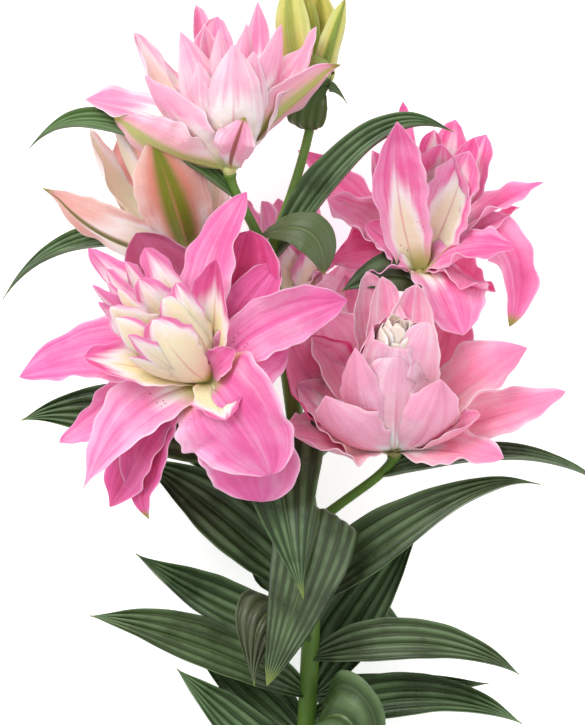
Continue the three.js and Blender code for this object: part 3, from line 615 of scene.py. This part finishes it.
def petal_material(name, pale, strong, rose, cream, throat, keel, beside_keel="e98f86", keel_line="8a4a3a",
                   narrow=0.42, green_to=0.22):
    """Lily petal: a velvety skin of raised cells over a thin, damp, light-scattering leaf of tissue.
    It gives a soft sheen with no hard highlight, fine lengthwise veins, a paler margin, a green
    throat, and dark red dots on the lower half. Its pink goes from pale through strong to rose, and
    its inner petals turn cream, the more in their middle the larger narrow is. The throat's green
    reaches up to the share green_to of its length. The point attributes "look" and "mark" give each
    petal its own share of all this, as the looks of its bloom tell."""
    material, tree = new_material(name)
    spot, look, mark = (
        add(tree, "SeparateXYZ", {0: add(tree, "Attribute", attribute_name=key).outputs["Vector"]})
        for key in ("blade", "look", "mark"))
    across, along, under = spot.outputs
    creamy, deep, peachy = look.outputs
    greenish, rim, lot = mark.outputs
    place = add(tree, "TexCoord").outputs["Object"]
    from_midrib = add(tree, "Math", {0: across, 1: 0.5}, operation="SUBTRACT")
    half = add(tree, "Math", {0: from_midrib}, operation="ABSOLUTE")
    u = add(tree, "Math", {0: half, 1: 2.0}, operation="MULTIPLY")
    u2 = add(tree, "Math", {0: u, 1: u}, operation="MULTIPLY")
    mottle = add(tree, "TexNoise", {"Vector": place, "Scale": PETAL_MOTTLES_PER_METRE, "Detail": 3.0})
    cells = add(tree, "TexNoise", {"Vector": place, "Scale": CELLS_PER_METRE, "Detail": 1.0})
    puckers = add(tree, "TexNoise", {"Vector": place, "Scale": PUCKERS_PER_METRE, "Detail": 2.0})
    on_petal = add(tree, "CombineXYZ", {0: across, 1: along, 2: lot})
    strands = add(tree, "VectorMath", {0: on_petal, 1: (VEINS_ACROSS, VEINS_ALONG, OTHER_PETAL)},
                  operation="MULTIPLY")
    veins = add(tree, "TexNoise", {"Vector": strands, "Scale": 1.0, "Detail": 4.0, "Roughness": 0.6})
    broad = add(tree, "VectorMath", {0: strands, 1: (BANDS_TO_VEINS, 1.0, 1.0)}, operation="MULTIPLY")
    bands = add(tree, "TexNoise", {"Vector": broad, "Scale": 1.0, "Detail": 1.0})

    # How deep the pink is: more along veins, bands and mottles and towards the tip, and less towards
    # the root and at the margins.
    depth = deep
    for value, middle, amount in ((veins, 0.5, 0.7), (bands, 0.5, 0.8), (mottle, 0.5, 0.7),
                                  (along, 0.45, 0.3), (u2, 0.3, -0.22)):
        shifted = add(tree, "Math", {0: value, 1: middle}, operation="SUBTRACT")
        depth = add(tree, "Math", {0: shifted, 1: amount, 2: depth}, operation="MULTIPLY_ADD")

    # How far inside the cream it is: the petal's own reach less the share of its length, less again
    # towards the margins, with a ragged end along veins and bands.
    from_root = add(tree, "Math", {0: u2, 1: narrow, 2: along}, operation="MULTIPLY_ADD")
    fine = add(tree, "Math", {0: veins, 1: 0.2}, operation="MULTIPLY")
    wander = add(tree, "Math", {0: fine, 1: bands})
    astray = add(tree, "Math", {0: wander, 1: 0.6}, operation="SUBTRACT")
    jagged = add(tree, "Math", {0: astray, 1: 0.28, 2: from_root}, operation="MULTIPLY_ADD")
    inside = add(tree, "Math", {0: creamy, 1: jagged}, operation="SUBTRACT")

    # Each share goes smoothly from nothing to its amount as its measure goes from one limit to the
    # other. The keel's green band narrows towards the tip, between two salmon ones.
    keel_width = add(tree, "Math", {0: along, 1: 0.22, 2: u}, operation="MULTIPLY_ADD")
    (half_deep, very_deep, near_root, whitish, creamed, in_salmon, in_band, on_midrib, below_tip, on_line,
     at_margin, at_roll, in_throat, at_tip) = (
        add(tree, "MapRange", {"Value": measure, "From Min": first, "From Max": last, "To Max": amount},
            interpolation_type="SMOOTHSTEP")
        for measure, first, last, amount in (
            (depth, 0.0, 0.85, 1.0), (depth, 0.7, 1.4, 1.0), (along, 1.0, 0.1, 1.0),
            (inside, -0.18, 0.05, 1.0), (inside, -0.03, 0.22, 1.0), (u, 0.8, 0.4, 0.8),
            (keel_width, 0.62, 0.3, 1.0), (u, 0.06, 0.0, 1.0), (along, 0.95, 0.4, 0.45),
            (u, 0.16, 0.05, 1.0), (u, 0.9, 1.0, 0.6), (u, 0.84, 0.95, 1.0),
            (along, green_to, 0.05, 0.9), (along, 0.93, 0.985, 1.0)))
    # The dusky share, from peachy below nothing, is painted shade: a dark mauve for petals that lie in
    # shade.
    painted_shade, lined, rolled = (add(tree, "Math", {0: below_nothing, 1: -1.0}, operation="MULTIPLY")
                            for below_nothing in (peachy, greenish, rim))
    either_way = add(tree, "Math", {0: greenish}, operation="ABSOLUTE")
    marked = add(tree, "Math", {0: either_way, 1: 0.001}, operation="GREATER_THAN")
    colour = add(tree, "MixRGB", {"Fac": half_deep, "Color1": linear(pale), "Color2": linear(strong)})
    for share, amount, tint in (
            (very_deep, 1.0, rose), (peachy, near_root, "f3bfa0"), (painted_shade, 1.0, "8e4a68"),
            (whitish, 1.0, "fdf0f0"), (creamed, 1.0, cream), (under, 0.18, pale),
            (greenish, in_salmon, beside_keel), (greenish, in_band, keel), (on_midrib, below_tip, rose),
            (lined, on_line, keel_line), (rim, at_margin, "ffeaf3"), (rolled, at_roll, "d8427e"),
            (in_throat, 1.0, throat), (marked, at_tip, "8a8f36")):
        part = add(tree, "Math", {0: share, 1: amount}, operation="MULTIPLY")
        colour = add(tree, "MixRGB", {"Fac": part, "Color1": colour, "Color2": linear(tint)})

    # Dots in patches on the lower half of the upper side, away from the throat and the margins.
    spread = add(tree, "TexVoronoi", {"Vector": place, "Scale": DOTS_PER_METRE}).outputs["Distance"]
    dots = add(tree, "Math", {0: spread, 1: DOT_RADIUS}, operation="LESS_THAN")
    zone = add(tree, "MapRange", {"Value": along, "From Min": 0.4, "From Max": 0.3, "To Max": 0.8})
    for value, limit, test in ((along, 0.13, "GREATER_THAN"), (u, 0.8, "LESS_THAN"),
                               (mottle, 0.5, "GREATER_THAN"), (under, 0.5, "LESS_THAN")):
        part = add(tree, "Math", {0: value, 1: limit}, operation=test)
        zone = add(tree, "Math", {0: zone, 1: part}, operation="MULTIPLY")
    dots = add(tree, "Math", {0: dots, 1: zone}, operation="MULTIPLY")
    colour = add(tree, "MixRGB", {"Fac": dots, "Color1": colour, "Color2": linear("962a44")})

    height = add(tree, "Math", {0: cells, 1: 0.25, 2: veins}, operation="MULTIPLY_ADD")
    height = add(tree, "Math", {0: puckers, 1: height})
    relief = add(tree, "Bump", {"Height": height, "Strength": 0.5, "Distance": 0.0013})
    skin = add(tree, "BsdfPrincipled", {
        "Base Color": colour, "Roughness": 0.55, "IOR": 1.4, "Normal": relief,
        "Subsurface Weight": 0.35, "Subsurface Radius": (1.0, 0.4, 0.5), "Subsurface Scale": 0.004,
        "Sheen Weight": 0.1, "Sheen Roughness": 0.45})
    add(tree, "OutputMaterial", {"Surface": skin})
    return material


# Some inner petals are torn and crumpled along their margins.
RAGGED = dict(uneven=0.28, ruffle=1.5)
# What a petal shows: to what share of its length its cream middle reaches, how deep its pink is, how
# peach it is towards its root, how green its keel and tip are, and how pale its margin is. Where it
# is less than nothing, the third paints shade on it, a dark mauve for a petal that lies in shade, the
# fourth gives its keel a thin dark line in place of the green band, and the last gives it a strong
# pink, rolled margin.
LEFT_LOOKS = {
    "pink": (0.0, 0.55, 0.0, 0.0, 0.5), "light": (0.22, 0.3, 0.0, 0.0, 0.5),
    "rose": (0.0, 1.0, 0.0, 0.0, 0.5), "hot": (0.0, 0.8, 0.0, 0.0, 0.5),
    "shaded_mauve": (0.0, 1.3, -0.75, 0.0, 0.3), "deep_tip": (0.0, 0.85, 0.0, 0.01, 0.6),
    "cream": (1.08, 0.75, 0.0, 0.0, 0.2), "magenta_tip": (0.82, 0.75, 0.0, 0.0, 0.2),
    "half_cream": (0.9, 0.7, 0.0, 0.0, 0.2), "patched": (0.98, 0.85, 0.0, 0.0, 0.2),
    "dipped": (0.66, 0.8, 0.0, 0.0, 0.2),
}
left_petal = petal_material("velvety pink lily petal", pale="f6b4d2", strong="e866a6", rose="c93a76",
                            cream="f5e8b8", throat="c3b95e", keel="8f9a3e")
# An outer or inner petal: its tip from the middle of the receptacle, its width, its arch and sweep,
# how far its upper face is turned from the sky in degrees, its curl, its looks, and what is its own
# in form. A ring: its number of petals, their length, bulge and end, their width, the angle of the
# first one, and their looks.
make_bloom("bloom_left", [
    (-101, -1, -13, 40, 9, 9, 37, -4, "pink"),
    (-66, -62, -1, 43, 11, 6, 30, -6, "light",
     dict(twist=-8, wave=1.6, ruffle=0.8, taper=1.35, swell=0.85)),
    (-33, -79, -18, 36, 12, 9, 34, -9, "deep_tip", dict(hook=4, taper=1.0)),
    (-80, -37, -38, 32, 9, -1, 36, -5, "pink", dict(taper=0.95)),
    (36, -54, 8, 66, 15, -7, 19, -7, "pink", dict(taper=0.68, swell=0.62, wave=4.0)),
    (31, -69, -14, 54, 12, -9, 17, -8, "pink", dict(taper=0.62, wave=4.2)),
    (78, 41, -11, 34, 12, -8, 5, -7, "pink", dict(taper=0.9)),
    (41, 62, -15, 28, 7, -2, -4, -4, "hot"),
    (46, 16, -8, 40, 8, -1, -4, -5, "pink"),
    (25, 79, -15, 46, -6, 3, -16, -3, "rose", dict(taper=0.55)),
    (23, 100, -15, 32, 7, -9, -26, -4, "pink", dict(twist=10)),
    (-38, 78, -45, 54, -2, 1, -14, -3, "shaded_mauve", dict(wave=4.0, ruffle=2.0, crease=3.0)),
    (-52, -72, -28, 34, 10, 0, 36, -8, "hot"),
], [
    (-63, 69, 3, 25, -5, -1, 143, -1, "magenta_tip", RAGGED),
    (-60, 49, 25, 24, -7, -1, 110, 1, "magenta_tip", RAGGED),
    (-32, 69, 19, 30, -5, -1, -159, -2, "magenta_tip", RAGGED),
    (-35, 52, 26, 27, -6, -1, 166, 1, "half_cream"),
    (-50, 37, 38, 26, -4, 0, 146, -1, "cream", RAGGED),
    (7, 63, 26, 30, -4, -2, -36, 1, "dipped", dict(taper=0.8, ruffle=0.7)),
    (-27, 30, 46, 31, -8, 2, 172, -2, "patched", dict(taper=0.5, ruffle=0.6)),
    (-65, 10, 16, 30, 1, 0, 30, -2, "magenta_tip"),
    (12, -24, 27, 30, 0, -1, -2, -3, "magenta_tip"),
    (17, 14, 21, 18, 2, 0, -23, 1, "pink"),
    (-47, 31, 40, 26, -8, -3, 132, -3, "cream"),
    (-22, 41, 33, 32, -7, -3, -150, -1, "cream"),
    (-53, 58, 14, 18, -6, 1, 130, 0, "half_cream", RAGGED),
    (-43, 62, 12, 16, -6, 0, 150, 0, "half_cream", RAGGED),
    (-46, 47, 36, 16, -6, 1, 130, 0, "cream", RAGGED),
    (-57, 40, 22, 20, -6, 1, 120, 0, "magenta_tip", RAGGED),
    (-40, 10, 28, 24, -4, 0, 100, -2, "cream"),
    (-52, 50, 30, 12, -6, 1, 140, 0, "half_cream"),
    (-40, 22, 50, 14, -6, 0, 150, 2, "half_cream"),
    (-15, 50, 30, 20, -6, 0, -160, 0, "half_cream"),
], [], LEFT_LOOKS, left_petal, 1)

# The right-hand back bloom: the same flower, stronger in pink, with upright inner petals that are
# cream down the middle, and a lower outer petal that bends far over and ends in a brown tip.
right_back_petal = petal_material("velvety strong pink lily petal", pale="f9b4d4", strong="ea609f",
                                  rose="cb3a78", cream="f6e8ca", throat="b2ac5e", keel="8f9a3e",
                                  narrow=0.95)
make_bloom("bloom_right_back", [
    (69, 46, -10, 24, 6, -3, -58, -4, "light"),
    (56, 32, -15, 22, 2, 1, -55, 3, "light"),
    (52, -34, 6, 38, 26, -24, -50, -10, "green_tip", dict(hook=3)),
    (24, -39, 20, 44, 6, 0, -40, -6, "light"),
    (42, -15, 4, 36, 4, 1, -60, -5, "pink"),
    (-49, 2, -1, 48, 4, 0, 60, -4, "pink"),
    (-51, 37, -3, 38, 7, -1, 50, -5, "light"),
    (-67, 64, -26, 28, 1, 3, 42, -2, "pink"),
    (52, 9, 23, 30, 7, 1, -52, -2, "pink"),
    (30, 38, -60, 42, 7, -1, -24, 0, "rose"),
    (-26, 28, -60, 42, 6, 2, 48, -1, "rose"),
    (-30, 22, 14, 26, 6, 0, 30, -4, "light"),
], [
    (-13, 77, 53, 36, -2, -4, 16, -1, "low_cream", dict(taper=0.8, ruffle=0.9)),
    (-9, 90, -2, 16, -6, -1, 21, 2, "pink"),
    (20, 80, 3, 30, -3, 0, -8, -5, "half_cream", RAGGED),
    (37, 72, -3, 32, -7, 0, -36, 1, "half_cream", RAGGED),
    (12, 66, 24, 38, -9, 2, 1, 0, "half_cream", RAGGED),
    (27, 62, 25, 32, -3, 1, -10, -1, "half_cream", RAGGED),
    (-26, 63, 2, 34, -8, -1, 60, 2, "half_cream"),
    (30, 70, 12, 20, -6, 0, -20, 0, "pink", RAGGED),
    (8, 74, 14, 24, -6, 0, -8, 0, "cream"),
], [], {
    "pink": LEFT_LOOKS["pink"], "rose": LEFT_LOOKS["rose"], "light": (0.35, 0.4, 0.0, 0.0, 0.5),
    "green_tip": (0.0, 0.5, 0.0, 0.01, 0.5), "cream": (0.9, 0.5, 0.0, 0.0, 0.3),
    "half_cream": (0.78, 0.42, 0.0, 0.0, 0.3), "low_cream": (0.56, 0.42, 0.0, 0.0, 0.3),
}, right_back_petal, 2)

# The right-hand front bloom: a bowl of mid-pink petals, cream and peach towards their roots, with a
# tight barrel of small petals for a core. Broad rose petals stand at its left, one with a rolled edge.
right_front_petal = petal_material("velvety blush lily petal", pale="fce0e6", strong="f38fb6",
                                   rose="cf5f88", cream="f8e2cf", throat="8e8c3a", keel="8f9a3e",
                                   green_to=0.16)
make_bloom("bloom_right_front", [
    (73, 52, -2, 50, 0, -2, -60, 3, "pink"),
    (94, 28, 1, 30, 0, 1, -34, -1, "pink"),
    (59, -8, 34, 30, 1, 1, -44, 3, "pink"),
    (-60, 8, 29, 46, -3, 0, 57, -3, "pink"),
    (-57, 57, 8, 62, -8, -4, 42, 1, "rolled", dict(cup=1.0, taper=0.6, wave=1.6, ruffle=0.8)),
    (-39, 70, -14, 46, 0, -1, 20, 9, "rose", dict(cup=0.8, taper=0.6, wave=1.6)),
    (-54, 32, 14, 50, -4, -2, 48, 1, "throated"),
    (35, 84, -36, 46, -12, 0, -15, -6, "shaded_mauve"),
    (-27, 92, -24, 44, -6, 0, 12, -4, "light"),
], [
    (-7, 91, 18, 30, -3, 0, 21, -1, "pale"),
    (-15, 94, 8, 32, -6, 2, 10, 0, "pale"),
    (12, 87, 16, 32, -8, 0, -14, 0, "pale"),
    (-22, 52, 58, 38, -12, 0, 140, -4, "blush", dict(taper=0.85, claw=0.6)),
    (-38, 26, 54, 44, -10, 1, 128, -3, "blush", dict(taper=0.85, claw=0.75)),
    (24, 35, 60, 40, -11, -2, -150, -1, "blush", dict(taper=0.85, claw=0.85)),
    (46, 15, 36, 26, -5, 1, -69, 0, "pink"),
    (17, 66, 60, 38, -14, 5, -172, 2, "peachy", dict(taper=0.65)),
], [
    (5, 73, 20, 16, 42, 55, "barrel"),
    (7, 77, 17, 14, 28, 20, "barrel"),
    (7, 81, 14, 10, 22, 50, "rosette"),
    (7, 83, 10, 8, 19, 10, "rosette"),
    (6, 84, 10, 6, 16, 15, "rosette"),
    (5, 85, 6, 3, 11, 40, "rosette"),
], {
    "pink": (0.32, 0.62, 0.25, 0.0, 0.5), "light": (0.5, 0.35, 0.1, 0.0, 0.5),
    "rose": (0.3, 0.65, 0.1, 0.0, 1.0), "shaded_mauve": (0.4, 0.6, -0.25, 0.0, 0.4),
    "rolled": (0.55, 0.7, -0.12, 0.0, -1.0), "throated": (0.32, 0.6, 0.5, 0.0, 0.5),
    "pale": (0.6, 0.35, 0.0, 0.0, 0.4), "blush": (0.2, 0.72, 0.05, 0.0, 0.6),
    "peachy": (0.42, 0.5, 0.4, 0.0, 0.6), "barrel": (0.3, 0.5, 0.3, 0.0, 0.5),
    "rosette": (1.3, 0.2, 0.0, 0.0, 0.8),
}, right_front_petal, 3)

# The top bloom, the palest: its outer petals are yellow-green outside, with curled green tips, and
# the folded front one has a brown-red midrib. Its inner petals are plain and pointed, not torn.
POINTED = dict(taper=0.9, uneven=0.08)
top_petal = petal_material("velvety pale pink lily petal", pale="fbdae2", strong="f190b6", rose="d8608e",
                           cream="f9e2d0", throat="c3c878", keel="b2bc62", beside_keel="efb8b0")
make_bloom("bloom_top", [
    (-60, 24, 14, 46, -8, 0, 116, -2, "green_back", dict(hook=3, wave=1.6)),
    (-79, 33, -11, 42, 7, 4, 50, -3, "pink"),
    (59, 54, 9, 38, 5, -2, -112, -7, "green_back", dict(hook=4, wave=1.0, ruffle=0.5, claw=0.7)),
    (48, 73, -8, 40, -4, -2, -67, -6, "pink"),
    (9, 22, 34, 23, -5, 1, 181, -6, "brown_midrib"),
    (-18, 37, -46, 40, 2, -1, 10, -6, "pink"),
    (24, 34, -43, 40, 3, 0, -49, -4, "pink"),
], [
    (-52, 70, -11, 28, -8, 1, 62, 1, "yellow"),
    (-45, 45, 31, 40, -7, 0, 117, 2, "pink", POINTED),
    (-26, 69, 20, 28, -10, -1, 187, -2, "light", POINTED),
    (-18, 86, -28, 20, -9, 3, 36, -1, "pink"),
    (-6, 79, -14, 30, -3, -4, 7, -2, "pink"),
    (-13, 73, 10, 24, -6, 2, 28, 3, "light", POINTED),
    (3, 61, 42, 37, -10, 0, 186, 1, "light", POINTED),
    (16, 87, -14, 30, -9, 1, -42, -2, "pink", POINTED),
    (10, 74, 19, 26, -5, 1, -128, -1, "light", POINTED),
    (29, 73, 16, 38, -8, 1, -116, 1, "pink", POINTED),
    (-40, 58, -3, 18, -1, 0, 71, 1, "yellow"),
    (14, 58, 30, 28, -8, 0, -150, 0, "light", POINTED),
    (-16, 52, 30, 26, -8, 0, 160, 0, "light", POINTED),
    (-5, 70, 26, 20, -6, 0, 180, 0, "light", POINTED),
], [], {
    "pink": (0.6, 0.55, 0.0, 0.0, 0.5), "light": (0.62, 0.4, 0.1, 0.0, 0.6),
    "green_back": (0.4, 0.6, 0.25, 0.9, 0.3), "yellow": (0.9, 0.4, 0.0, 0.0, 0.3),
    "brown_midrib": (0.3, 0.6, 0.1, -0.9, 0.4),
}, top_petal, 4)

# The half-open bloom: still a cup of four outer petals, ivory to peach, the front one with a broad
# green midrib between two salmon bands, round a few pale inner tips.
half_open_petal = petal_material("velvety peach lily petal", pale="ecc5bb", strong="dc9a92", rose="cf7a72",
                                 cream="f0dfc4", throat="a9ad52", keel="727c14", beside_keel="d2846f",
                                 keel_line="6f6a2a")
make_bloom("bloom_half_open", [
    (-76, 36, 2, 46, -7, 2, 119, -4, "keeled", dict(hook=4, wave=1.2, ruffle=0.4, taper=1.1)),
    (-18, 62, 48, 42, -8, -1, 179, 2, "striped", dict(taper=0.9, wave=1.0, ruffle=0.4)),
    (4, 66, -3, 50, -14, -1, -120, 0, "peach"),
    (-35, 72, -26, 46, -12, -1, 2, 0, "peach"),
], [
    (-53, 67, -5, 28, -11, 1, 73, -1, "ivory"),
    (-39, 66, 12, 26, -5, -1, 103, 0, "ivory"),
    (-25, 73, -6, 24, -7, 1, -48, -1, "ivory"),
    (-9, 72, 2, 22, -9, -2, -82, 1, "ivory"),
], [], {
    "peach": (0.7, 0.3, 0.1, 0.15, 0.2), "keeled": (0.6, 0.5, 0.1, -1.0, 0.2),
    "striped": (0.5, 0.5, 0.1, 1.0, 0.2), "ivory": (1.1, 0.2, 0.0, 0.0, 0.2),
}, half_open_petal, 5)

# The small bloom behind, seen between the others: pink outer petals and a few cream inner ones.
rear_petal = petal_material("velvety rear lily petal", pale="f8b8d4", strong="ee70aa", rose="cc3a78",
                            cream="fff1cc", throat="b9b266", keel="8f9a3e")
make_bloom("bloom_rear", [
    (-25, 51, 13, 24, -3, -2, 56, -1, "light"),
    (-8, 52, 0, 26, -3, -1, -30, -1, "pink"),
    (24, 16, 11, 34, 2, 0, -79, -1, "pink"),
    (-39, 16, -43, 40, 6, 0, 48, 0, "pink"),
    (-33, -17, -15, 32, 5, 1, 77, 0, "pink"),
    (33, -4, -42, 40, 7, -1, -100, 0, "pink"),
    (4, 53, -41, 40, 3, 0, -24, 1, "pink"),
], [
    (-17, 50, 22, 22, -4, 0, 45, 0, "light"),
    (-4, 26, 34, 24, -6, 1, -157, 0, "half_cream"),
    (9, 25, 33, 24, -6, 1, -120, -1, "half_cream"),
    (20, 36, 20, 24, -4, 0, -40, 0, "light"),
], [], {
    "pink": (0.3, 0.3, 0.0, 0.0, 0.5), "light": (0.5, 0.2, 0.0, 0.0, 0.5),
    "half_cream": LEFT_LOOKS["half_cream"],
}, rear_petal, 6)

# The bud, just parting: three outer petals still green and yellow, waxy and smooth, with one inner
# petal between them. Three short green scales stand round its base.
bud_petal = petal_material("waxy green lily bud", pale="dad8a0", strong="aab858", rose="7a9a30",
                           cream="e4e2b4", throat="587f28", keel="66882a", beside_keel="c6c85a",
                           green_to=0.45)
SMOOTH = dict(wave=0.6, ruffle=0.15, uneven=0.02, crease=0.3, claw=0.45)
make_bloom("bud", [
    (-12, 63, 4, 23, -8, 1, 150, 0, "bud", SMOOTH),
    (18, 51, 2, 14, -5, 2, -165, -2, "blushed", SMOOTH),
    (4, 58, -8, 26, -7, 0, -5, 0, "bud", SMOOTH),
], [
    (-4, 53, -2, 16, -4, 1, 30, 2, "bud", SMOOTH),
], [
    (3, 21, 12, 8, 22, 40, "base"),
], {
    "base": (0.0, 1.2, 0.0, 0.0, 0.0), "bud": (0.0, 0.6, 0.0, 0.6, 0.0),
    "blushed": (0.0, 0.5, 0.0, 0.8, 0.0),
}, bud_petal, 7)
